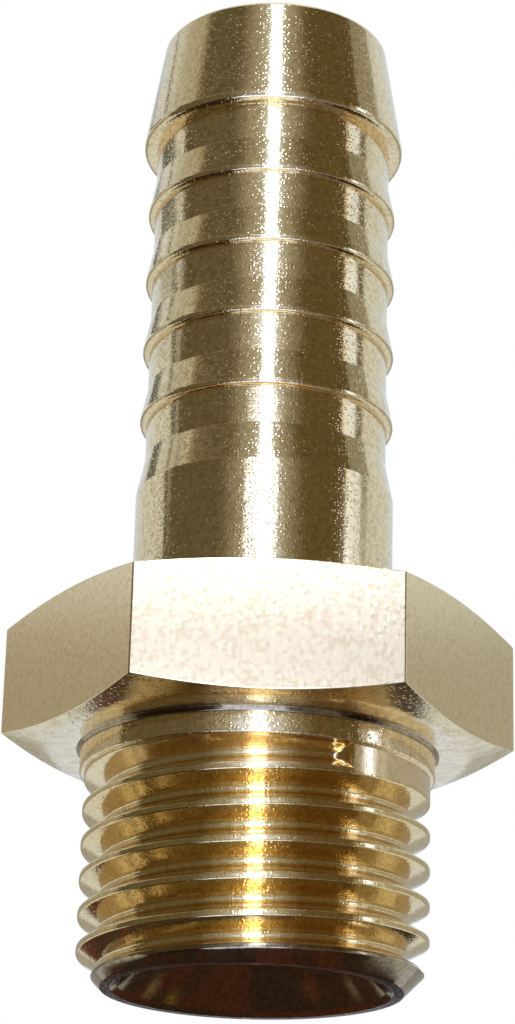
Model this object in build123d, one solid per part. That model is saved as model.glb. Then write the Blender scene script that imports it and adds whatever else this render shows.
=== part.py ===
from build123d import *
from math import radians, sqrt, tan
import os

# Hose nipple turned from one length of hexagon brass bar, in millimetres.
# The axis is Z. The origin is the middle of the thread's end face, and the hose tail points up.
# Two flats of the hexagon face -Y and +Y.

# Pipe thread: 1/4 inch parallel, right-hand, 19 turns to the inch, 55 degree form
THREAD_MAJOR_DIAMETER = 13.157
THREAD_PITCH = 1.337
THREAD_ANGLE = 55.0
THREAD_FLAT = 0.223
THREAD_SHANK_LENGTH = 8.1
LAST_GROOVE_TO_COLLAR = 0.355
RUN_OUT_ANGLE = -60.0

# Plain collar between the thread and the hexagon
COLLAR_DIAMETER = 13.52
COLLAR_LENGTH = 0.95
COLLAR_ROOT = 0.15

# Mouth at the thread end: a thin flat lip, a broken edge and a conical seat
MOUTH_DIAMETER = 10.5
MOUTH_EDGE_BREAK = 0.2
LIP_WIDTH = 0.4
SEAT_CONE_ANGLE = 60.0
END_CHAMFER_ANGLE = 45.0

# Hexagon, with both ends turned off at a shallow angle
HEX_ACROSS_FLATS = 17.0
HEX_LENGTH = 5.15
HEX_FACE_MARGIN = 0.45
HEX_LOWER_CHAMFER_ANGLE = 17.8
HEX_UPPER_CHAMFER_ANGLE = 14.2

# Hose tail: plain stem, barbs and a long tip cone
STEM_DIAMETER = 10.12
STEM_LENGTH = 5.15
BARB_COUNT = 5
BARB_PITCH = 3.03
BARB_CREST_DIAMETER = 10.12
FIRST_CREST_DIAMETER = 10.68
BARB_NECK_DIAMETER = 9.5
BARB_NECK_LENGTH = 1.5
TIP_DIAMETER = 9.16
TIP_CONE_LENGTH = 4.7
TIP_EDGE_BREAK = 0.12

# Passage through the whole part
BORE_DIAMETER = 7.0
BORE_EDGE_BREAK = 0.25

# How far a cutting shape stands clear of the surface that it cuts
CUTTER_CLEARANCE = 0.1

THREAD_SLOPE = tan(radians(THREAD_ANGLE / 2))
COLLAR_START = THREAD_SHANK_LENGTH
HEX_START = COLLAR_START + COLLAR_LENGTH
HEX_END = HEX_START + HEX_LENGTH
STEM_END = HEX_END + STEM_LENGTH
FIRST_CREST_HEIGHT = STEM_END + BARB_COUNT * BARB_PITCH
TOTAL_LENGTH = FIRST_CREST_HEIGHT + TIP_CONE_LENGTH


def revolve_profile(points):
    """Solid of revolution from (radius, height) points joined by straight lines."""
    outline = Polyline(*[(radius, 0, height) for radius, height in points], close=True)
    return revolve(make_face(outline), Axis.Z, 360)


def thread_shank():
    """Blank of the thread with the chamfer at its end, up to the collar."""
    major = THREAD_MAJOR_DIAMETER / 2
    lip = MOUTH_DIAMETER / 2 + LIP_WIDTH
    chamfer_height = (major - lip) / tan(radians(END_CHAMFER_ANGLE))
    return revolve_profile(
        [(0, 0), (lip, 0), (major, chamfer_height), (major, COLLAR_START), (0, COLLAR_START)]
    )


def collar():
    """Plain collar with a small cone at its root, against the underside of the hexagon."""
    radius = COLLAR_DIAMETER / 2
    return revolve_profile(
        [
            (0, COLLAR_START), (radius, COLLAR_START), (radius, HEX_START - COLLAR_ROOT),
            (radius + COLLAR_ROOT, HEX_START), (0, HEX_START),
        ]
    )


def hexagon():
    """Hexagonal prism with its corners turned off by a shallow cone at each end."""
    corner = HEX_ACROSS_FLATS / sqrt(3)
    face = HEX_ACROSS_FLATS / 2 - HEX_FACE_MARGIN
    lower_drop = (corner - face) * tan(radians(HEX_LOWER_CHAMFER_ANGLE))
    upper_drop = (corner - face) * tan(radians(HEX_UPPER_CHAMFER_ANGLE))
    prism = Pos(0, 0, HEX_START) * extrude(RegularPolygon(corner, 6), HEX_LENGTH)
    turned = revolve_profile(
        [
            (0, HEX_START), (face, HEX_START), (corner, HEX_START + lower_drop),
            (corner, HEX_END - upper_drop), (face, HEX_END), (0, HEX_END),
        ]
    )
    return prism & turned


def barb_points(base, crest_diameter):
    """Profile of one barb above the height base: cone from the crest, then the neck.

    The cone widens downwards from the neck to the crest below it, so that a hose slides on
    easily and is held against coming off.
    """
    neck = BARB_NECK_DIAMETER / 2
    cone_top = base + BARB_PITCH - BARB_NECK_LENGTH
    return [(crest_diameter / 2, base), (neck, cone_top), (neck, base + BARB_PITCH)]


def hose_tail():
    """Stem, barbs and tip cone as one turned shape."""
    points = [(0, HEX_END), (STEM_DIAMETER / 2, HEX_END)]
    for barb in range(BARB_COUNT):
        diameter = STEM_DIAMETER if barb == 0 else BARB_CREST_DIAMETER
        points += barb_points(STEM_END + barb * BARB_PITCH, diameter)
    points += [
        (FIRST_CREST_DIAMETER / 2, FIRST_CREST_HEIGHT), (TIP_DIAMETER / 2, TOTAL_LENGTH),
        (0, TOTAL_LENGTH),
    ]
    tail = revolve_profile(points)
    return chamfer(tail.faces().sort_by(Axis.Z)[-1].edges(), TIP_EDGE_BREAK)


def passage():
    """Everything that is open inside: edge break, conical seat, bore and break at the tip."""
    bore = BORE_DIAMETER / 2
    mouth = MOUTH_DIAMETER / 2
    seat = mouth - MOUTH_EDGE_BREAK
    seat_end = MOUTH_EDGE_BREAK + (seat - bore) / tan(radians(SEAT_CONE_ANGLE / 2))
    return revolve_profile(
        [
            (0, -CUTTER_CLEARANCE), (mouth + CUTTER_CLEARANCE, -CUTTER_CLEARANCE),
            (seat, MOUTH_EDGE_BREAK), (bore, seat_end), (bore, TOTAL_LENGTH - BORE_EDGE_BREAK),
            (bore + BORE_EDGE_BREAK + CUTTER_CLEARANCE, TOTAL_LENGTH + CUTTER_CLEARANCE),
            (0, TOTAL_LENGTH + CUTTER_CLEARANCE),
        ]
    )


def thread_groove():
    """Helical groove of the thread, from below the end face up to its run-out at the collar.

    Its section is the 55 degree V, cut off flat at the root. The flat that it leaves at the
    crest is as wide as the one at its root.
    """
    outer = THREAD_MAJOR_DIAMETER / 2 + CUTTER_CLEARANCE
    root = THREAD_MAJOR_DIAMETER / 2 - (THREAD_PITCH / 2 - THREAD_FLAT) / THREAD_SLOPE
    root_half = THREAD_FLAT / 2
    outer_half = root_half + (outer - root) * THREAD_SLOPE
    section = Polyline(
        (root, 0, -root_half), (outer, 0, -outer_half), (outer, 0, outer_half),
        (root, 0, root_half), close=True,
    )
    top = COLLAR_START - LAST_GROOVE_TO_COLLAR
    height = top + THREAD_PITCH
    start_angle = RUN_OUT_ANGLE - 360 * height / THREAD_PITCH
    path = Helix(THREAD_PITCH, height, THREAD_MAJOR_DIAMETER / 2)
    groove = sweep(make_face(section), path=path, is_frenet=True)
    return Rot(0, 0, start_angle) * Pos(0, 0, top - height) * groove


def hose_nipple():
    """The whole part as one solid."""
    body = thread_shank() - thread_groove() + collar() + hexagon() + hose_tail()
    return body - passage()


def main():
    """Build the part and write it."""
    os.makedirs("parts", exist_ok=True)
    export_step(hose_nipple(), "parts/hose_nipple.step")


main()
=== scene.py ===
"""Looks of the turned brass hose nipple: its surface, finishes, light, floor and camera.

Sizes are in millimetres and degrees, and become metres only where they go to Blender.
"""

import logging
from dataclasses import dataclass, field
from enum import Enum

import bpy
import numpy as np
from mathutils import Matrix, Vector


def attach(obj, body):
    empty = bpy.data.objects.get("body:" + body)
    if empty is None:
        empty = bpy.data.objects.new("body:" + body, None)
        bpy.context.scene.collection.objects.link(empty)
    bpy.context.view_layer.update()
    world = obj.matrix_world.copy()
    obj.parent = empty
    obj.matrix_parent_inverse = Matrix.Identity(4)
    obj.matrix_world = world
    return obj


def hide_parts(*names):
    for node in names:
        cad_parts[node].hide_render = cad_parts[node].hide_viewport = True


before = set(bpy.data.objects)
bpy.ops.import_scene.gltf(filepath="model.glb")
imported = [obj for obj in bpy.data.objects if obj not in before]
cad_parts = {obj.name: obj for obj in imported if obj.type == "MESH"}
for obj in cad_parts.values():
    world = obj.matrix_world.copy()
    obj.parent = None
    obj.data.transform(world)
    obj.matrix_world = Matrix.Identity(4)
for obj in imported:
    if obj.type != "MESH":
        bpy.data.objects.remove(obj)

Array = np.ndarray
Socket = bpy.types.NodeSocket
Colour = tuple[float, float, float]
MM = 0.001
PICTURE_WIDTH = 515
PICTURE_HEIGHT = 1024
BODY = "root"
NODE = "hose_nipple"
SIDE_SHARE = 0.85
ANGLE_DIGITS = 4
OFFSET_DIGITS = 5
LEAST_ROW_GAP = 1e-6

log = logging.getLogger("scene")


class Zone(Enum):
    """Finishes of the one piece, in the order of its material slots."""

    TURNED = 0
    DRAWN = 1
    THREAD = 2
    # Brass darkened as painted shade: bore, seat, lip, end chamfer and collar root
    PAINTED_SHADE = 3
    WORN = 4


def rounded(corners: Array, radii: Array, steps: int) -> Array:
    """Round the corners of open profiles with short parabolic curves.

    A corner c becomes the curve (1-t)^2 a + 2t(1-t) c + t^2 b. Its ends a and b lie on the two
    sides, away from c by the radius times the tangent of half the turn, or by SIDE_SHARE of the
    shorter side where that is less.

    Args:
        corners: Profile points, shaped (corners, columns, 2).
        radii: One radius for each corner. The first and last corners stay as they are.
        steps: Points on each curve.

    Returns:
        Rounded profiles, shaped (rows, columns, 2).
    """
    side = corners[1:] - corners[:-1]
    length = np.linalg.norm(side, axis=2)
    unit = side / length[..., None]
    cosine = np.clip((unit[:-1] * unit[1:]).sum(axis=2), -1.0, 1.0)
    most = SIDE_SHARE * np.minimum(length[:-1], length[1:])
    reach = np.minimum(radii[1:-1, None] * np.tan(0.5 * np.arccos(cosine)), most)
    middle = corners[1:-1]
    start = middle - reach[..., None] * unit[:-1]
    stop = middle + reach[..., None] * unit[1:]
    along = np.linspace(0.0, 1.0, steps)[:, None, None, None]
    curve = (1 - along) ** 2 * start + 2 * along * (1 - along) * middle + along**2 * stop
    curve = curve.transpose(1, 0, 2, 3).reshape(-1, corners.shape[1], 2)
    return np.concatenate([corners[:1], curve, corners[-1:]])


def smooth_least(first: Array, second: Array, width: float) -> Array:
    """Smaller of two arrays, blended by a parabola where they differ by less than a width.

    Args:
        first: One array.
        second: The other array.
        width: Difference at which the blend begins.

    Returns:
        Blended minimum.
    """
    share = np.clip(0.5 + 0.5 * (second - first) / width, 0.0, 1.0)
    return second + (first - second) * share - width * share * (1 - share)


@dataclass
class Columns:
    """Angles round the axis at which every profile is taken, from the seam at the back."""

    seam: float = 90.0
    count: int = 216
    corner_spacing: float = 60.0
    corner_offsets: tuple[float, ...] = (-0.5, -0.294, -0.2, -0.1, 0.1, 0.2, 0.294, 0.5)
    run_out: float = -60.0
    run_out_width: float = 7.0
    run_out_steps: int = 20

    def angles(self) -> Array:
        """Even angles, with more of them at the hexagon's edges and at the run-out.

        Returns:
            Angles in radians, rising anticlockwise from the seam.
        """
        even = np.arange(self.count) * 360.0 / self.count
        corners = np.arange(0.0, 360.0, self.corner_spacing)[:, None] + np.array(self.corner_offsets)
        run_out = self.run_out - np.linspace(0.0, self.run_out_width, self.run_out_steps + 1)
        extra = (np.concatenate([corners.ravel(), run_out]) - self.seam) % 360.0
        every = np.unique(np.round(np.concatenate([even, extra]), ANGLE_DIGITS))
        return np.radians(self.seam + every)


@dataclass
class Stretch:
    """Corners of one stretch of the profile, in the order in which the surface runs.

    Attributes:
        corners: Points (radius, height), shaped (corners, columns, 2).
        radii: Rounding of each corner.
        zones: Finish of the surface that follows each corner.
    """

    corners: Array
    radii: list[float]
    zones: list[Zone]


def rings(points: list[tuple[float, float]], columns: int) -> Array:
    """Profile corners that are the same all round, shaped (points, columns, 2)."""
    return np.repeat(np.array(points)[:, None, :], columns, axis=1)


@dataclass
class PipeThread:
    """Parallel pipe thread of 55 degree form, with its end chamfer and run-out."""

    major_radius: float = 6.5785
    pitch: float = 1.337
    flank_angle: float = 27.5
    flat: float = 0.223
    length: float = 8.1
    lip_radius: float = 5.65
    last_centre: float = 7.745
    run_out: float = 300.0
    run_out_width: float = 7.0
    run_out_blend: float = 0.2
    crest_rounding: float = 0.1
    root_rounding: float = 0.164
    chamfer_blend: float = 0.03
    curve_steps: int = 6
    flank_points: int = 2
    flank_ends: int = 2
    lowest_turn: int = -6
    highest_turn: int = 1

    def section(self) -> Array:
        """One pitch of the groove: straight flanks between a flat root and a flat crest, rounded.

        Returns:
            Points (offset from the groove's middle, depth), shaped (points, 2).
        """
        half_flat = self.flat / 2
        half_mouth = self.pitch / 2 - half_flat
        depth = (half_mouth - half_flat) / np.tan(np.radians(self.flank_angle))
        crest = self.crest_rounding
        root = self.root_rounding
        corners = [
            (-self.pitch / 2, 0.0), (-half_mouth, 0.0), (-half_flat, depth),
            (half_flat, depth), (half_mouth, 0.0), (self.pitch / 2, 0.0),
        ]
        radii = np.array([0.0, crest, root, root, crest, 0.0])
        return rounded(rings(corners, 1), radii, self.curve_steps)[:, 0]

    def row_offsets(self) -> Array:
        """Offsets of the rows of one turn from the groove's middle, rising.

        Each flank is divided evenly, and the points near its two ends are left out, because the
        points of the rounded bends stand there.

        Returns:
            Offsets in millimetres.
        """
        half_flat = self.flat / 2
        ends = self.flank_ends
        flank = np.linspace(half_flat, self.pitch / 2 - half_flat, self.flank_points + 2 * ends)
        flank = flank[ends:-ends]
        bends = self.section()[:-1, 0]
        return np.unique(np.round(np.concatenate([bends, flank, -flank, [0.0]]), OFFSET_DIGITS))

    def centre(self, angles: Array, turn: Array) -> Array:
        """Height of the groove's middle: one pitch for each turn, and the last at its place."""
        turned = (np.degrees(angles) - self.run_out) / 360
        return self.last_centre + self.pitch * turned + self.pitch * turn

    def radius(self, angles: Array, turn: Array, offset: Array) -> Array:
        """Radius of the threaded surface.

        The radius is the major radius less the groove's depth at this offset, and no more than
        the cone of the end chamfer. At the run-out the depth is no more than that of a quarter
        of an ellipse, which ends the groove in a scoop as a tool does that is drawn out of it.

        Args:
            angles: Angle of each point in radians.
            turn: Turn of the groove that the point belongs to, 0 for the last.
            offset: Height of the point above the groove's middle.

        Returns:
            Radius of each point.
        """
        curve = self.section()
        depth = np.interp(offset, curve[:, 0], curve[:, 1])
        left = (self.run_out - np.degrees(angles)) / self.run_out_width
        left = np.where(turn < 0, 1.0, np.where(turn > 0, 0.0, np.clip(left, 0.0, 1.0)))
        whole = curve[:, 1].max() + self.run_out_blend
        scoop = np.sqrt(left * (2 - left)) * whole
        cut = np.maximum(smooth_least(depth, scoop, self.run_out_blend), 0.0)
        height = self.centre(angles, turn) + offset
        return smooth_least(self.major_radius - cut, self.lip_radius + height, self.chamfer_blend)

    def top_ring(self, angles: Array) -> Array:
        """Ring where the thread meets the collar's lower face.

        Args:
            angles: Angles of the columns in radians.

        Returns:
            Points (radius, height), shaped (1, columns, 2).
        """
        above = self.length - self.centre(angles, np.zeros_like(angles))
        turn = np.round(above / self.pitch)
        radius = self.radius(angles, turn, above - turn * self.pitch)
        return np.stack([radius, np.full_like(radius, self.length)], axis=-1)[None]

    def rows(self, angles: Array) -> tuple[Array, int]:
        """All rows of the threaded surface, each following the helix.

        Args:
            angles: Angles of the columns in radians.

        Returns:
            Points (radius, height), shaped (rows, columns, 2), and the rows in one turn. Points
            past either end of the thread keep their height, so that they can be told apart.
        """
        offsets = self.row_offsets()
        turns = np.arange(self.lowest_turn, self.highest_turn + 1)
        turn = np.repeat(turns, len(offsets)).astype(float)[:, None] + 0 * angles
        offset = np.tile(offsets, len(turns))[:, None] + 0 * angles
        every = np.broadcast_to(angles, turn.shape)
        radius = self.radius(every, turn, offset)
        height = self.centre(every, turn) + offset
        return np.stack([radius, height], axis=-1), len(offsets)


@dataclass
class Collar:
    """Plain collar between the thread and the hexagon."""

    radius: float = 6.76
    start: float = 8.1
    end: float = 9.05
    root: float = 0.15
    edge: float = 0.1
    root_rounding: float = 0.1

    def stretch(self, columns: int) -> Stretch:
        """Lower edge, wall and the small cone at the root, darkened there as painted shade."""
        points = [(self.radius, self.start), (self.radius, self.end - self.root)]
        return Stretch(
            rings(points, columns), [self.edge, self.root_rounding], [Zone.TURNED, Zone.PAINTED_SHADE]
        )


@dataclass
class SpannerHexagon:
    """Hexagon bar with both ends turned off at a shallow angle."""

    apothem: float = 8.5
    face_radius: float = 8.05
    start: float = 9.05
    end: float = 14.2
    root_radius: float = 6.91
    lower_angle: float = 17.8
    upper_angle: float = 14.2
    upright_rounding: float = 0.1
    ring_rounding: float = 0.05
    face_rounding: float = 2.0
    root_rounding: float = 0.02

    def wall(self, angles: Array) -> Array:
        """Radius of the bar: apothem over the cosine on a flat, and a small circle at an edge.

        Args:
            angles: Angles of the columns in radians.

        Returns:
            Radius at each angle.
        """
        half_side = np.pi / 6
        inner = self.apothem - self.upright_rounding
        from_edge = np.abs((angles + half_side) % (2 * half_side) - half_side)
        flat = self.apothem / np.cos(half_side - from_edge)
        centre = inner / np.cos(half_side)
        inside = self.upright_rounding**2 - (centre * np.sin(from_edge)) ** 2
        curve = centre * np.cos(from_edge) + np.sqrt(np.maximum(inside, 0.0))
        tangent = np.arctan(inner * np.tan(half_side) / self.apothem)
        return np.where(half_side - from_edge > tangent, curve, flat)

    def stretch(self, angles: Array) -> Stretch:
        """Underside, lower cone, six flats, upper cone and top face.

        A cone's height changes with the wall's radius beyond the face, times the tangent of its
        angle.

        Args:
            angles: Angles of the columns in radians.

        Returns:
            The stretch from the collar to the stem.
        """
        wall = self.wall(angles)
        lower = self.start + (wall - self.face_radius) * np.tan(np.radians(self.lower_angle))
        upper = self.end - (wall - self.face_radius) * np.tan(np.radians(self.upper_angle))
        under = rings([(self.root_radius, self.start), (self.face_radius, self.start)], len(angles))
        flats = np.stack([np.stack([wall, lower], axis=-1), np.stack([wall, upper], axis=-1)])
        top = rings([(self.face_radius, self.end)], len(angles))
        return Stretch(
            np.concatenate([under, flats, top]),
            [
                self.root_rounding, self.face_rounding, self.ring_rounding,
                self.ring_rounding, self.face_rounding,
            ],
            [Zone.WORN, Zone.WORN, Zone.DRAWN, Zone.TURNED, Zone.TURNED],
        )


@dataclass
class HoseTail:
    """Plain stem, five barbs and the long tip cone."""

    start: float = 14.2
    stem_radius: float = 5.06
    stem_length: float = 5.15
    barb_count: int = 5
    barb_pitch: float = 3.03
    neck_radius: float = 4.75
    neck_length: float = 1.5
    first_crest_radius: float = 5.34
    tip_radius: float = 4.58
    tip_length: float = 4.7
    root_rounding: float = 0.03
    crest_rounding: float = 0.21
    first_crest_rounding: float = 0.3
    stem_rounding: float = 0.3
    cone_rounding: float = 0.25
    tip_rounding: float = 0.2

    def stretch(self, columns: int) -> Stretch:
        """Stem, then a cone, a neck and a step out for each barb, and the tip cone.

        Args:
            columns: Number of columns.

        Returns:
            The stretch from the hexagon to the tip.
        """
        points = [(self.stem_radius, self.start)]
        radii = [self.root_rounding]
        base = self.start + self.stem_length
        crest = self.stem_radius
        rounding = self.stem_rounding
        for barb in range(self.barb_count):
            top = base + self.barb_pitch
            neck = self.neck_radius
            points += [(crest, base), (neck, top - self.neck_length), (neck, top)]
            radii += [rounding, self.cone_rounding, self.root_rounding]
            base = top
            rounding = self.crest_rounding
        points += [(self.first_crest_radius, base), (self.tip_radius, base + self.tip_length)]
        radii += [self.first_crest_rounding, self.tip_rounding]
        return Stretch(rings(points, columns), radii, [Zone.TURNED] * len(points))


@dataclass
class Passage:
    """Straight bore with a broken edge at the tip and a conical seat at the mouth."""

    radius: float = 3.5
    top: float = 39.2
    top_break: float = 0.25
    seat_end: float = 2.885
    seat_radius: float = 5.05
    mouth_radius: float = 5.25
    mouth_break: float = 0.2
    rounding: float = 0.03
    lip_edge: float = 0.02

    def stretch(self, columns: int, lip_radius: float) -> Stretch:
        """From the tip down through the bore and the seat to the thin lip.

        Args:
            columns: Number of columns.
            lip_radius: Outer radius of the lip.

        Returns:
            The stretch from the tip to the lip.
        """
        points = [
            (self.radius + self.top_break, self.top),
            (self.radius, self.top - self.top_break),
            (self.radius, self.seat_end),
            (self.seat_radius, self.mouth_break),
            (self.mouth_radius, 0.0),
            (lip_radius - self.lip_edge, 0.0),
        ]
        count = len(points)
        # The bore, seat and lip take the brass darkened as painted shade.
        return Stretch(rings(points, columns), [self.rounding] * count, [Zone.PAINTED_SHADE] * count)


@dataclass
class SurfaceGrid:
    """Vertices and faces of a surface while they are put together."""

    points: Array
    quads: Array
    triangles: Array
    quad_zones: Array
    triangle_zones: Array

    @classmethod
    def from_cells(cls, points: Array, cells: Array, zones: Array) -> "SurfaceGrid":
        """Make quads and triangles of four-cornered cells, some with a closed side.

        A cell whose left or right side has no length becomes a triangle. A cell in which neither
        has a length is left out.

        Args:
            points: Vertices of the surface.
            cells: Four vertices of each cell, in order round it.
            zones: Finish of each cell.

        Returns:
            The surface.
        """
        left_closed = cells[:, 0] == cells[:, 3]
        right_closed = cells[:, 1] == cells[:, 2]
        whole = ~left_closed & ~right_closed
        left = left_closed & ~right_closed
        right = right_closed & ~left_closed
        triangles = np.concatenate([cells[left][:, [0, 1, 2]], cells[right][:, [0, 1, 3]]])
        triangle_zones = np.concatenate([zones[left], zones[right]])
        return cls(points, cells[whole], triangles, zones[whole], triangle_zones)

    def vertex_normals(self, used: Array) -> Array:
        """Normals of some vertices: each the sum of its faces' normals times their areas.

        Args:
            used: Numbers of the vertices, each of them on a face.

        Returns:
            Unit normals, shaped (vertices, 3).
        """
        across = self.points[self.quads]
        quad_normals = np.cross(across[:, 2] - across[:, 0], across[:, 3] - across[:, 1])
        corner = self.points[self.triangles]
        triangle_normals = np.cross(corner[:, 1] - corner[:, 0], corner[:, 2] - corner[:, 0])
        owner = np.concatenate([self.quads.ravel(), self.triangles.ravel()])
        shares = np.concatenate(
            [np.repeat(quad_normals, 4, axis=0), np.repeat(triangle_normals, 3, axis=0)]
        )
        count = len(self.points)
        total = np.stack([np.bincount(owner, shares[:, k], count) for k in range(3)], axis=1)[used]
        return total / np.linalg.norm(total, axis=1, keepdims=True)

    def mesh(self, name: str) -> bpy.types.Mesh:
        """Put the grid into a mesh in metres, smooth, with its own vertex normals.

        Args:
            name: Name of the mesh.

        Returns:
            The new mesh.
        """
        used, place = np.unique(
            np.concatenate([self.quads.ravel(), self.triangles.ravel()]), return_inverse=True
        )
        quads = place[: self.quads.size].reshape(-1, 4)
        triangles = place[self.quads.size :].reshape(-1, 3)
        normals = self.vertex_normals(used)
        mesh = bpy.data.meshes.new(name)
        mesh.vertices.add(len(used))
        mesh.vertices.foreach_set("co", (self.points[used] * MM).ravel())
        mesh.loops.add(quads.size + triangles.size)
        mesh.loops.foreach_set("vertex_index", np.concatenate([quads.ravel(), triangles.ravel()]))
        starts = np.concatenate(
            [np.arange(len(quads)) * 4, quads.size + np.arange(len(triangles)) * 3]
        )
        mesh.polygons.add(len(starts))
        mesh.polygons.foreach_set("loop_start", starts)
        zones = np.concatenate([self.quad_zones, self.triangle_zones])
        mesh.polygons.foreach_set("material_index", zones.astype(np.int32))
        mesh.update(calc_edges=True)
        mesh.validate()
        mesh.polygons.foreach_set("use_smooth", np.ones(len(mesh.polygons), dtype=bool))
        mesh.normals_split_custom_set_from_vertices(normals.tolist())
        return mesh


@dataclass
class NippleBody:
    """The whole nipple as one closed surface round its axis."""

    name: str = "nipple_body"
    curve_steps: int = 5
    columns: Columns = field(default_factory=Columns)
    thread: PipeThread = field(default_factory=PipeThread)
    collar: Collar = field(default_factory=Collar)
    hexagon: SpannerHexagon = field(default_factory=SpannerHexagon)
    tail: HoseTail = field(default_factory=HoseTail)
    passage: Passage = field(default_factory=Passage)

    def profile(self, angles: Array) -> tuple[Array, Array]:
        """Rows from the collar round over the tip and through the bore to the lip.

        A corner that doesn't turn has no curve, so its rows fall on each other and one is kept.

        Args:
            angles: Angles of the columns in radians.

        Returns:
            Points (radius, height), shaped (rows, columns, 2), and the finish after each row.
        """
        count = len(angles)
        lip = self.thread.lip_radius
        stretches = [
            self.collar.stretch(count),
            self.hexagon.stretch(angles),
            self.tail.stretch(count),
            self.passage.stretch(count, lip),
        ]
        corners = np.concatenate(
            [self.thread.top_ring(angles)]
            + [stretch.corners for stretch in stretches]
            + [rings([(lip, 0.0)], count)]
        )
        radii = [radius for stretch in stretches for radius in stretch.radii]
        zones = [zone.value for stretch in stretches for zone in stretch.zones]
        after = np.concatenate([[Zone.TURNED.value], np.repeat(zones, self.curve_steps)])
        rows = rounded(corners, np.array([0.0] + radii + [0.0]), self.curve_steps)
        apart = np.abs(np.diff(rows, axis=0)).max(axis=(1, 2)) > LEAST_ROW_GAP
        return np.concatenate([rows[:1], rows[1:][apart]]), after[apart]

    def grid(self) -> SurfaceGrid:
        """Join the profile rows and the thread rows into one closed surface.

        A point at (radius, height) stands at radius times the cosine and sine of its column's
        angle. Thread rows past an end of the thread give way to the ring there, and their last
        column meets the first one a whole turn higher. The end chamfer has the brass darkened as
        painted shade. The last groove has the drawn bar's, because the tool's chatter lies across
        it as a grain.

        Returns:
            The surface in millimetres.
        """
        angles = self.columns.angles()
        count = len(angles)
        profile, after = self.profile(angles)
        helix, per_turn = self.thread.rows(angles)
        rows = np.concatenate([profile, helix])
        index = np.arange(rows.shape[0] * count).reshape(-1, count)
        points = np.stack(
            [rows[..., 0] * np.cos(angles), rows[..., 0] * np.sin(angles), rows[..., 1]], axis=-1
        ).reshape(-1, 3)
        turned = index[: len(profile)]
        turned = np.concatenate([turned, turned[:, :1]], axis=1)
        threaded = index[len(profile) :]
        threaded = np.where(helix[..., 1] <= 0.0, turned[-1, :-1], threaded)
        threaded = np.where(helix[..., 1] >= self.thread.length, turned[0, :-1], threaded)
        beyond = np.full(per_turn, turned[0, 0])
        seam = np.concatenate([threaded[per_turn:, 0], beyond])[:, None]
        threaded = np.concatenate([threaded, seam], axis=1)
        cells = np.concatenate([self.cells(turned), self.cells(threaded)])
        # The end chamfer takes the brass darkened as painted shade.
        chamfer = self.thread.lip_radius + helix[:-1, :, 1] - self.thread.chamfer_blend
        thread_zones = np.where(helix[:-1, :, 0] > chamfer, Zone.PAINTED_SHADE.value, Zone.THREAD.value)
        last_groove = -self.thread.lowest_turn * per_turn
        thread_zones[last_groove:] = Zone.DRAWN.value
        zones = np.concatenate([np.repeat(after, count), thread_zones.ravel()])
        return SurfaceGrid.from_cells(points, cells, zones)

    def cells(self, index: Array) -> Array:
        """Four corners of each cell of an index grid, in order round the cell, facing outwards."""
        cells = [index[:-1, :-1], index[:-1, 1:], index[1:, 1:], index[1:, :-1]]
        return np.stack(cells, axis=-1).reshape(-1, 4)

    def build(self) -> bpy.types.Object:
        """Make the piece and let it stand for the CAD node.

        Returns:
            The finished object.
        """
        piece = bpy.data.objects.new(self.name, self.grid().mesh(self.name))
        bpy.context.scene.collection.objects.link(piece)
        for finish in (TurnedBrass(), DrawnBrass(), ThreadBrass(), PaintedShadeBrass(), WornBrass()):
            piece.data.materials.append(finish.material())
        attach(piece, BODY)
        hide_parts(NODE)
        log.info("%s: %d faces", self.name, len(piece.data.polygons))
        return piece


class Graph:
    """Adds shader nodes to one node tree and joins them."""

    def __init__(self, tree: bpy.types.NodeTree) -> None:
        """Start with an empty tree."""
        self.tree = tree
        self.tree.nodes.clear()

    def add(self, kind: str, inputs: dict | None = None, **settings: object) -> bpy.types.Node:
        """Add one node.

        Args:
            kind: Name of the node type.
            inputs: Values or sockets for its inputs, by name or number.
            settings: Values of the node's own properties.

        Returns:
            The new node.
        """
        node = self.tree.nodes.new(kind)
        for name, value in settings.items():
            setattr(node, name, value)
        for name, value in (inputs or {}).items():
            self.feed(node.inputs[name], value)
        return node

    def feed(self, socket: Socket, value: object) -> None:
        """Join a socket to another, or set its value.

        Args:
            socket: Input to feed.
            value: Socket or plain value.
        """
        if isinstance(value, Socket):
            self.tree.links.new(value, socket)
        else:
            socket.default_value = value

    def math(self, operation: str, *values: object) -> Socket:
        """Result of a Math node on one to three values or sockets."""
        return self.add("ShaderNodeMath", dict(enumerate(values)), operation=operation).outputs[0]

    def vector(self, operation: str, *values: object) -> Socket:
        """Result of a Vector Math node on two vectors or sockets."""
        node = self.add("ShaderNodeVectorMath", dict(enumerate(values)), operation=operation)
        return node.outputs[0]

    def place(self) -> Socket:
        """Object coordinates in millimetres."""
        metres = self.add("ShaderNodeTexCoord").outputs["Object"]
        return self.vector("MULTIPLY", metres, (1 / MM, 1 / MM, 1 / MM))

    def ramp(
        self, value: object, low: float, high: float, start: float = 0.0, end: float = 1.0
    ) -> Socket:
        """Smooth step of a value between two limits.

        Args:
            value: Value or socket.
            low: Value at which the step starts.
            high: Value at which it ends.
            start: Result up to the lower limit.
            end: Result from the upper limit on.

        Returns:
            Result of the step.
        """
        inputs = {"Value": value, "From Min": low, "From Max": high, "To Min": start, "To Max": end}
        node = self.add("ShaderNodeMapRange", inputs, interpolation_type="SMOOTHSTEP")
        return node.outputs["Result"]

    def mix(self, share: object, first: object, second: object) -> Socket:
        """Mix of two colours.

        Args:
            share: Share of the second colour.
            first: Colour as a socket or a triple.
            second: Colour as a socket or a triple.

        Returns:
            Mixed colour.
        """
        node = self.add("ShaderNodeMix", {"Factor": share}, data_type="RGBA")
        for name, colour in (("A", first), ("B", second)):
            self.feed(node.inputs[name], colour if isinstance(colour, Socket) else (*colour, 1.0))
        return node.outputs["Result"]

    def output(self, kind: str, surface: bpy.types.Node) -> None:
        """Join a shader to the output node."""
        self.add(kind, {"Surface": surface.outputs[0]})


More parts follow.
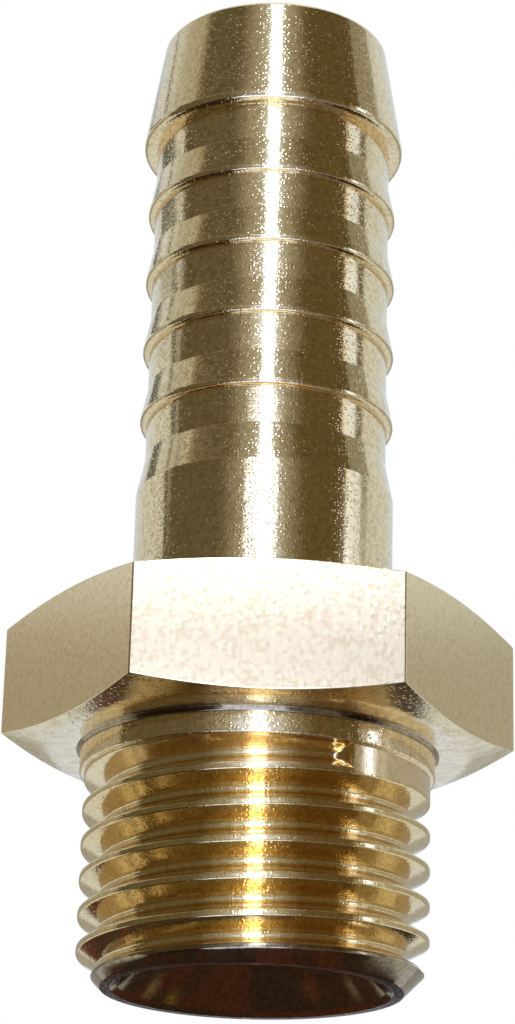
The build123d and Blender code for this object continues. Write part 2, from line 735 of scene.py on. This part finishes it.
@dataclass(frozen=True)
class TurnedBrass:
    """Bright turned brass with fine tool lines round the axis.

    The quarter turn of the gloss spreads it across the tool lines.
    """

    name: str = "turned_brass"
    bright: Colour = (0.90, 0.70, 0.40)
    dull: Colour = (0.68, 0.50, 0.26)
    roughness: float = 0.10
    anisotropy: float = 0.3
    gloss_turn: float = 0.25
    line_rate: float = 14.0
    line_length: float = 0.15
    line_height: float = 0.0008
    line_detail: float = 2.0
    wave_rate: float = 2.2
    wave_height: float = 0.0030
    wave_detail: float = 1.0
    pit_rate: float = 7.5
    pit_flatness: float = 1.5
    pit_size: float = 0.5
    pit_depth: float = 0.0080
    mottle_rate: float = 5.0
    mottle_detail: float = 4.0
    mottle_low: float = 0.35
    mottle_high: float = 0.75

    def material(self) -> bpy.types.Material:
        """Metal whose colour is mottled and whose surface has tool lines, waves and pits.

        Returns:
            The new material.
        """
        material = bpy.data.materials.new(self.name)
        material.use_nodes = True
        graph = Graph(material.node_tree)
        place = graph.place()
        mottle = self.noise(graph, place, self.mottle_detail, self.mottle_rate)
        share = graph.ramp(mottle, self.mottle_low, self.mottle_high)
        colour = graph.mix(share, self.bright, self.dull)
        shader = graph.add(
            "ShaderNodeBsdfPrincipled",
            {
                "Base Color": colour, "Metallic": 1.0, "Roughness": self.roughness,
                "Anisotropic": self.anisotropy, "Anisotropic Rotation": self.gloss_turn,
                "Tangent": self.tangent(graph, place), "Normal": self.relief(graph, place),
            },
        )
        graph.output("ShaderNodeOutputMaterial", shader)
        return material

    def noise(self, graph: Graph, place: Socket, detail: float, rate: float = 1.0) -> Socket:
        """Noise at a rate per millimetre, or per unit of a place that is scaled already."""
        node = graph.add("ShaderNodeTexNoise", {"Vector": place, "Scale": rate, "Detail": detail})
        return node.outputs["Fac"]

    def tangent(self, graph: Graph, place: Socket) -> Socket:
        """Direction round the axis."""
        return graph.vector("CROSS_PRODUCT", (0.0, 0.0, 1.0), place)

    def lines(self, graph: Graph, place: Socket) -> Socket:
        """Noise that changes fast along the profile and slowly round the axis.

        Along the profile it is read at the line rate times the sum of radius and height, and
        round the axis at x and y times the line length.

        Args:
            graph: Graph to add to.
            place: Object coordinates in millimetres.

        Returns:
            Height between 0 and 1.
        """
        x, y, z = graph.add("ShaderNodeSeparateXYZ", {0: place}).outputs
        squares = [graph.math("MULTIPLY", part, part) for part in (x, y)]
        radius = graph.math("SQRT", graph.math("ADD", *squares))
        across = graph.math("MULTIPLY", graph.math("ADD", radius, z), self.line_rate)
        slow = [graph.math("MULTIPLY", part, self.line_length) for part in (x, y)]
        scaled = graph.add("ShaderNodeCombineXYZ", {0: slow[0], 1: slow[1], 2: across}).outputs[0]
        return self.noise(graph, scaled, self.line_detail)

    def relief(self, graph: Graph, place: Socket) -> Socket:
        """Normal bent by the tool lines, by slow waves and by small pits.

        Args:
            graph: Graph to add to.
            place: Object coordinates in millimetres.

        Returns:
            The bent normal.
        """
        waves = self.noise(graph, place, self.wave_detail, self.wave_rate)
        normal = self.bump(graph, self.lines(graph, place), self.line_height)
        normal = self.bump(graph, waves, self.wave_height, normal)
        return self.bump(graph, self.pits(graph, place), self.pit_depth, normal)

    def pits(self, graph: Graph, place: Socket) -> Socket:
        """Small round dents of different depths, one in each cell of a random pattern.

        The depth falls smoothly from a cell's middle to the pit's rim. It is multiplied by a
        random number that each cell has.

        Args:
            graph: Graph to add to.
            place: Object coordinates in millimetres.

        Returns:
            Height between 0 and 1.
        """
        rates = (self.pit_rate, self.pit_rate, self.pit_rate * self.pit_flatness)
        scaled = graph.vector("MULTIPLY", place, rates)
        cells = graph.add("ShaderNodeTexVoronoi", {"Vector": scaled, "Scale": 1.0})
        chance = graph.add("ShaderNodeSeparateXYZ", {0: cells.outputs["Color"]}).outputs[0]
        dent = graph.ramp(cells.outputs["Distance"], 0.0, self.pit_size, 1.0, 0.0)
        return graph.math("MULTIPLY", dent, chance)

    def bump(
        self, graph: Graph, height: Socket, depth: float, normal: Socket | None = None
    ) -> Socket:
        """Normal bent by a height.

        Args:
            graph: Graph to add to.
            height: Height between 0 and 1.
            depth: Height in millimetres that 1 stands for.
            normal: Normal that is already bent, if there is one.

        Returns:
            The bent normal.
        """
        inputs = {"Height": height, "Distance": depth * MM, "Strength": 1.0}
        if normal is not None:
            inputs["Normal"] = normal
        return graph.add("ShaderNodeBump", inputs).outputs[0]


@dataclass(frozen=True)
class ThreadBrass(TurnedBrass):
    """Cut thread: brass of a slightly different colour, with shallower waves and pits."""

    name: str = "thread_brass"
    bright: Colour = (0.88, 0.66, 0.34)
    dull: Colour = (0.72, 0.52, 0.24)
    wave_height: float = 0.0015
    pit_depth: float = 0.0050


@dataclass(frozen=True)
class PaintedShadeBrass(TurnedBrass):
    """Passage, seat, lip, end chamfer and corner under the hexagon, darkened as painted shade."""

    name: str = "painted_shade_brass"
    bright: Colour = (0.42, 0.31, 0.17)
    dull: Colour = (0.26, 0.17, 0.09)
    roughness: float = 0.12
    wave_height: float = 0.0010
    pit_depth: float = 0.0020


@dataclass(frozen=True)
class WornBrass(TurnedBrass):
    """Underside of the hexagon, rubbed pale and scratched by washers."""

    name: str = "worn_brass"
    bright: Colour = (0.88, 0.72, 0.44)
    dull: Colour = (0.72, 0.55, 0.30)
    roughness: float = 0.16
    line_rate: float = 6.0
    line_length: float = 0.6
    line_height: float = 0.0030
    wave_height: float = 0.0060
    pit_depth: float = 0.0100
    mottle_rate: float = 2.0


@dataclass(frozen=True)
class DrawnBrass(TurnedBrass):
    """Flats of the drawn bar, matt, with a grain along the bar, and the chattered last groove.

    The gloss isn't turned, so it spreads round the axis, across the grain.
    """

    name: str = "drawn_brass"
    dull: Colour = (0.82, 0.60, 0.32)
    roughness: float = 0.13
    gloss_turn: float = 0.0
    line_rate: float = 8.0
    line_length: float = 0.6
    line_height: float = 0.0020
    wave_height: float = 0.0012
    pit_depth: float = 0.0012
    pit_rate: float = 6.0
    pit_flatness: float = 0.5
    mottle_low: float = 0.46
    mottle_high: float = 0.64

    def lines(self, graph: Graph, place: Socket) -> Socket:
        """Noise that changes fast round the axis and slowly along it."""
        rates = (self.line_rate, self.line_rate, self.line_length)
        return self.noise(graph, graph.vector("MULTIPLY", place, rates), self.line_detail)


@dataclass(frozen=True)
class Card:
    """One light or dark card of the studio, seen from the piece.

    Attributes:
        azimuth: Middle of the card, from the front towards the right, in degrees.
        half_width: Half its width in degrees.
        low: Elevation of its lower edge.
        high: Elevation of its upper edge.
        soft: Width of its soft edge in degrees.
        colour: Light that it sends, linear.
        lean: Shift of its azimuth for each degree above the middle of its height.
    """

    azimuth: float
    half_width: float
    low: float
    high: float
    soft: float
    colour: Colour
    lean: float = 0.0


@dataclass(frozen=True)
class Studio:
    """White studio with grey side walls, a dark front and a bright window strip.

    Each card covers the ones before it. The front is the azimuth, from -Y towards +X, from
    which the cards' own azimuths are counted.
    """

    white: Colour = (1.0, 1.0, 1.0)
    front: float = -1.82
    cards: tuple[Card, ...] = (
        # Back, side walls and the greyer parts of the walls
        Card(180.0, 14.0, -60.0, 22.0, 8.0, (0.74, 0.84, 1.05)),
        Card(-130.0, 42.0, -95.0, 75.0, 10.0, (0.70, 0.80, 0.92)),
        Card(130.0, 42.0, -95.0, 75.0, 10.0, (0.70, 0.81, 0.94)),
        Card(-132.0, 40.0, -13.0, 18.4, 2.0, (0.39, 0.39, 0.36)),
        Card(132.0, 40.0, -13.0, 18.4, 2.0, (0.42, 0.44, 0.43)),
        Card(-96.0, 22.0, 37.0, 62.0, 20.0, (0.42, 0.43, 0.38)),
        Card(104.0, 13.0, 29.5, 62.0, 4.0, (0.31, 0.32, 0.28)),
        # Dark front
        Card(-45.0, 54.0, -95.0, 36.0, 3.0, (0.125, 0.115, 0.075)),
        Card(-39.0, 44.0, 36.0, 62.0, 12.0, (0.125, 0.115, 0.075)),
        Card(38.5, 38.5, -95.0, 62.0, 3.0, (0.130, 0.100, 0.050)),
        Card(44.0, 47.0, 29.5, 62.0, 3.0, (0.120, 0.095, 0.045)),
        # Window strip, the glow round it and what the front flat sees of it
        Card(-2.0, 26.0, -12.0, 62.0, 30.0, (0.42, 0.43, 0.40)),
        Card(0.0, 15.0, -12.0, 22.0, 12.0, (0.80, 0.95, 1.30)),
        Card(0.0, 10.0, 22.0, 64.0, 10.0, (0.55, 0.66, 0.84)),
        Card(0.0, 5.3, -12.0, 64.0, 2.0, (4.5, 5.4, 8.2)),
        Card(-2.0, 10.0, 19.9, 21.6, 0.6, (4.5, 5.4, 8.2)),
        Card(-3.0, 14.5, 20.1, 21.1, 0.6, (4.5, 5.4, 8.2)),
        Card(0.0, 13.5, 15.0, 19.8, 0.4, (0.68, 0.79, 1.22)),
        Card(0.0, 13.5, 18.2, 19.8, 1.2, (0.46, 0.53, 0.80)),
        # Narrow window at the right and the dark gap beside it
        Card(79.0, 11.0, -38.0, 18.4, 5.0, (0.44, 0.43, 0.38)),
        Card(78.5, 4.0, -6.0, 19.5, 2.0, (1.50, 1.90, 3.00)),
        Card(87.0, 6.5, 18.4, 29.5, 2.0, (0.90, 1.10, 1.50)),
        Card(99.5, 4.5, 20.5, 29.5, 3.0, (0.19, 0.18, 0.16)),
        # Leaning dark strips at the left and pale strips beside them
        Card(-101.0, 4.5, 20.0, 25.3, 1.5, (0.12, 0.12, 0.10), lean=-2.6),
        Card(-95.5, 1.8, 20.5, 25.4, 2.0, (0.42, 0.44, 0.44), lean=-0.7),
        Card(-132.0, 16.0, 25.3, 32.0, 3.0, (0.15, 0.16, 0.15), lean=-4.0),
        Card(-107.0, 6.0, 25.4, 29.5, 3.0, (0.70, 0.78, 0.95), lean=-4.5),
        Card(-117.0, 6.5, 33.5, 37.5, 3.0, (0.15, 0.15, 0.13), lean=-9.0),
        # Dark ground, its lighter near part and the bright patches in it
        Card(-90.0, 54.0, -110.0, -43.0, 10.0, (0.030, 0.018, 0.012)),
        Card(180.0, 101.0, -110.0, -43.0, 10.0, (0.030, 0.018, 0.012)),
        Card(21.0, 59.0, -110.0, -28.0, 5.0, (0.20, 0.21, 0.24)),
        Card(0.0, 26.0, -110.0, -12.0, 20.0, (0.42, 0.50, 0.62)),
        Card(-6.0, 40.0, -110.0, -47.0, 6.0, (1.4, 1.9, 3.4)),
        Card(0.0, 7.0, -62.0, -12.0, 4.0, (2.0, 2.7, 4.6)),
    )

    def build(self) -> bpy.types.World:
        """Make the world: white to the camera, and the cards to everything else.

        Returns:
            The world of the scene.
        """
        world = bpy.data.worlds.new("studio")
        world.use_nodes = True
        graph = Graph(world.node_tree)
        direction = graph.add("ShaderNodeTexCoord").outputs["Generated"]
        x, y, z = graph.add("ShaderNodeSeparateXYZ", {0: direction}).outputs
        ahead = graph.math("ARCTAN2", x, graph.math("MULTIPLY", y, -1.0))
        azimuth = graph.math("SUBTRACT", graph.math("DEGREES", ahead), self.front)
        elevation = graph.math("DEGREES", graph.math("ARCSINE", z))
        light = self.white
        for card in self.cards:
            light = graph.mix(self.cover(graph, card, azimuth, elevation), light, card.colour)
        path = graph.add("ShaderNodeLightPath")
        seen = graph.math("MAXIMUM", path.outputs["Is Camera Ray"], path.outputs["Is Transmission Ray"])
        light = graph.mix(seen, light, self.white)
        graph.output("ShaderNodeOutputWorld", graph.add("ShaderNodeBackground", {"Color": light}))
        bpy.context.scene.world = world
        log.info("studio: %d cards", len(self.cards))
        return world

    def cover(self, graph: Graph, card: Card, azimuth: Socket, elevation: Socket) -> Socket:
        """Share of a direction that a card covers, with soft edges on all four sides.

        Args:
            graph: Graph to add to.
            card: The card.
            azimuth: Azimuth of the direction in degrees.
            elevation: Elevation of the direction in degrees.

        Returns:
            Share between 0 and 1.
        """
        half_turn = 180.0
        above = graph.math("SUBTRACT", elevation, (card.low + card.high) / 2)
        middle = graph.math("ADD", graph.math("MULTIPLY", above, card.lean), card.azimuth)
        aside = graph.math("WRAP", graph.math("SUBTRACT", azimuth, middle), half_turn, -half_turn)
        aside = graph.math("ABSOLUTE", aside)
        half_soft = card.soft / 2
        width = graph.ramp(aside, card.half_width - half_soft, card.half_width + half_soft, 1.0, 0.0)
        bottom = graph.ramp(elevation, card.low - half_soft, card.low + half_soft)
        top = graph.ramp(elevation, card.high - half_soft, card.high + half_soft, 1.0, 0.0)
        return graph.math("MULTIPLY", width, graph.math("MULTIPLY", bottom, top))


@dataclass
class PaleFloor:
    """Plain pale floor that the camera sees from above, with the piece's shadow on it."""

    name: str = "pale_floor"
    half_size: float = 400.0
    colour: Colour = (0.92, 0.92, 0.91)
    roughness: float = 0.9

    def build(self) -> bpy.types.Object:
        """Make the floor, which lets every ray through from below.

        Returns:
            The floor object.
        """
        half = self.half_size * MM
        mesh = bpy.data.meshes.new(self.name)
        corners = [(-half, -half, 0.0), (half, -half, 0.0), (half, half, 0.0), (-half, half, 0.0)]
        mesh.from_pydata(corners, [], [(0, 1, 2, 3)])
        floor = bpy.data.objects.new(self.name, mesh)
        bpy.context.scene.collection.objects.link(floor)
        mesh.materials.append(self.material())
        log.info("%s: half size %.0f mm", self.name, self.half_size)
        return floor

    def material(self) -> bpy.types.Material:
        """Matt pale surface for camera rays from above, and nothing for other rays.

        Returns:
            The new material.
        """
        material = bpy.data.materials.new(self.name)
        material.use_nodes = True
        graph = Graph(material.node_tree)
        path = graph.add("ShaderNodeLightPath")
        below = graph.add("ShaderNodeNewGeometry").outputs["Backfacing"]
        above = graph.math("SUBTRACT", 1.0, below)
        shown = graph.math("MULTIPLY", path.outputs["Is Camera Ray"], above)
        clear = graph.add("ShaderNodeBsdfTransparent")
        finish = {"Color": (*self.colour, 1.0), "Roughness": self.roughness}
        matt = graph.add("ShaderNodeBsdfDiffuse", finish)
        shaders = {0: shown, 1: clear.outputs[0], 2: matt.outputs[0]}
        graph.output("ShaderNodeOutputMaterial", graph.add("ShaderNodeMixShader", shaders))
        return material


@dataclass(frozen=True)
class Glow:
    """One lighter spot on the foot shadow: its place across and back, its radius and its light."""

    across: float
    back: float
    radius: float
    colour: Colour


@dataclass
class FootShadow:
    """Dark patch under the piece that only its metal sees, as it sees its own shadow.

    It is an ellipse whose middle lies behind the axis. Its edge is soft over a share of its
    radius.
    """

    name: str = "foot_shadow"
    half_width: float = 12.5
    half_depth: float = 18.8
    back: float = 9.9
    soft: float = 0.1
    drop: float = 4.0
    rim_points: int = 64
    colour: Colour = (0.055, 0.040, 0.034)
    warm: Colour = (0.110, 0.045, 0.030)
    strip_rate: float = 0.32
    strip_detail: float = 2.0
    strip_low: float = 0.46
    strip_high: float = 0.62
    glows: tuple[Glow, ...] = (
        Glow(-5.2, 7.0, 1.5, (0.32, 0.30, 0.25)),
        Glow(4.9, 5.9, 1.5, (0.32, 0.29, 0.20)),
        Glow(3.0, 3.3, 0.7, (0.34, 0.27, 0.07)),
        Glow(-2.9, 2.0, 1.0, (0.20, 0.08, 0.05)),
    )

    def build(self) -> bpy.types.Object:
        """Make the patch a little below the floor and hide it from the camera.

        Returns:
            The patch object.
        """
        turn = np.linspace(0.0, 2 * np.pi, self.rim_points, endpoint=False)
        across = np.cos(turn) * self.half_width
        back = np.sin(turn) * self.half_depth + self.back
        rim = np.stack([across, back, 0 * turn - self.drop], axis=1)
        mesh = bpy.data.meshes.new(self.name)
        mesh.from_pydata((rim * MM).tolist(), [], [tuple(range(self.rim_points))])
        patch = bpy.data.objects.new(self.name, mesh)
        bpy.context.scene.collection.objects.link(patch)
        patch.visible_camera = False
        mesh.materials.append(self.material())
        log.info("%s: half width %.0f mm", self.name, self.half_width)
        return patch

    def material(self) -> bpy.types.Material:
        """Dim light of the shaded floor with its warm strips and glows, clear towards the rim.

        Returns:
            The new material.
        """
        material = bpy.data.materials.new(self.name)
        material.use_nodes = True
        graph = Graph(material.node_tree)
        place = graph.place()
        shares = (1 / self.half_width, 1 / self.half_depth, 0.0)
        middle = (0.0, self.back / self.half_depth, 0.0)
        away = self.away(graph, graph.vector("MULTIPLY", place, shares), middle)
        solid = graph.ramp(away, 1.0 - self.soft, 1.0, 1.0, 0.0)
        across = graph.add("ShaderNodeSeparateXYZ", {0: place}).outputs[0]
        noise = {"W": across, "Scale": self.strip_rate, "Detail": self.strip_detail}
        strips = graph.add("ShaderNodeTexNoise", noise, noise_dimensions="1D").outputs["Fac"]
        share = graph.ramp(strips, self.strip_low, self.strip_high)
        light = graph.mix(share, self.colour, self.warm)
        for glow in self.glows:
            distance = self.away(graph, place, (glow.across, glow.back, -self.drop))
            light = graph.mix(graph.ramp(distance, 0.0, glow.radius, 1.0, 0.0), light, glow.colour)
        clear = graph.add("ShaderNodeBsdfTransparent")
        dim = graph.add("ShaderNodeEmission", {"Color": light})
        shaders = {0: solid, 1: clear.outputs[0], 2: dim.outputs[0]}
        graph.output("ShaderNodeOutputMaterial", graph.add("ShaderNodeMixShader", shaders))
        return material

    def away(self, graph: Graph, place: Socket, point: tuple[float, float, float]) -> Socket:
        """Distance of a place from a point."""
        node = graph.add("ShaderNodeVectorMath", {0: place, 1: point}, operation="DISTANCE")
        return node.outputs["Value"]


@dataclass
class Viewpoint:
    """Camera of the photograph, below the piece and looking up at it."""

    place: tuple[float, float, float] = (-3.255, -102.45, -19.25)
    heading: float = 1.77
    rise: float = 19.54
    roll: float = 1.51
    focal_pixels: float = 2782.0
    middle_pixels: tuple[float, float] = (260.6, 556.7)
    sensor: float = 24.0

    def build(self) -> bpy.types.Object:
        """Make the camera and set it as the scene's.

        It looks along its heading and rise, and is rolled about that line. The optical axis
        passes through the middle pixels, which sets the shift.

        Returns:
            The camera object.
        """
        heading, rise, roll = np.radians([self.heading, self.rise, self.roll])
        level_part = np.cos(rise)
        ahead = np.array([np.sin(heading) * level_part, np.cos(heading) * level_part, np.sin(rise)])
        level = np.array([np.cos(heading), -np.sin(heading), 0.0])
        upright = np.cross(level, ahead)
        right = np.cos(roll) * level + np.sin(roll) * upright
        up = -np.sin(roll) * level + np.cos(roll) * upright
        data = bpy.data.cameras.new("camera")
        data.sensor_fit = "VERTICAL"
        data.sensor_height = self.sensor
        data.lens = self.focal_pixels / PICTURE_HEIGHT * self.sensor
        data.shift_x = (PICTURE_WIDTH / 2 - self.middle_pixels[0]) / PICTURE_HEIGHT
        data.shift_y = (self.middle_pixels[1] - PICTURE_HEIGHT / 2) / PICTURE_HEIGHT
        data.clip_start = MM
        camera = bpy.data.objects.new("camera", data)
        bpy.context.scene.collection.objects.link(camera)
        turn = Matrix((Vector(right), Vector(up), Vector(-ahead))).transposed().to_4x4()
        camera.matrix_world = Matrix.Translation(Vector(self.place) * MM) @ turn
        bpy.context.scene.camera = camera
        log.info("camera: lens %.1f mm", data.lens)
        return camera


def main() -> None:
    """Build the camera, the studio, the floor and the piece."""
    logging.basicConfig(level=logging.INFO, format="%(name)s: %(message)s")
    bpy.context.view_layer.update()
    bpy.context.scene.view_settings.view_transform = "Standard"
    Viewpoint().build()
    Studio().build()
    PaleFloor().build()
    FootShadow().build()
    NippleBody().build()
    bpy.context.view_layer.update()


if __name__ == "__main__":
    main()
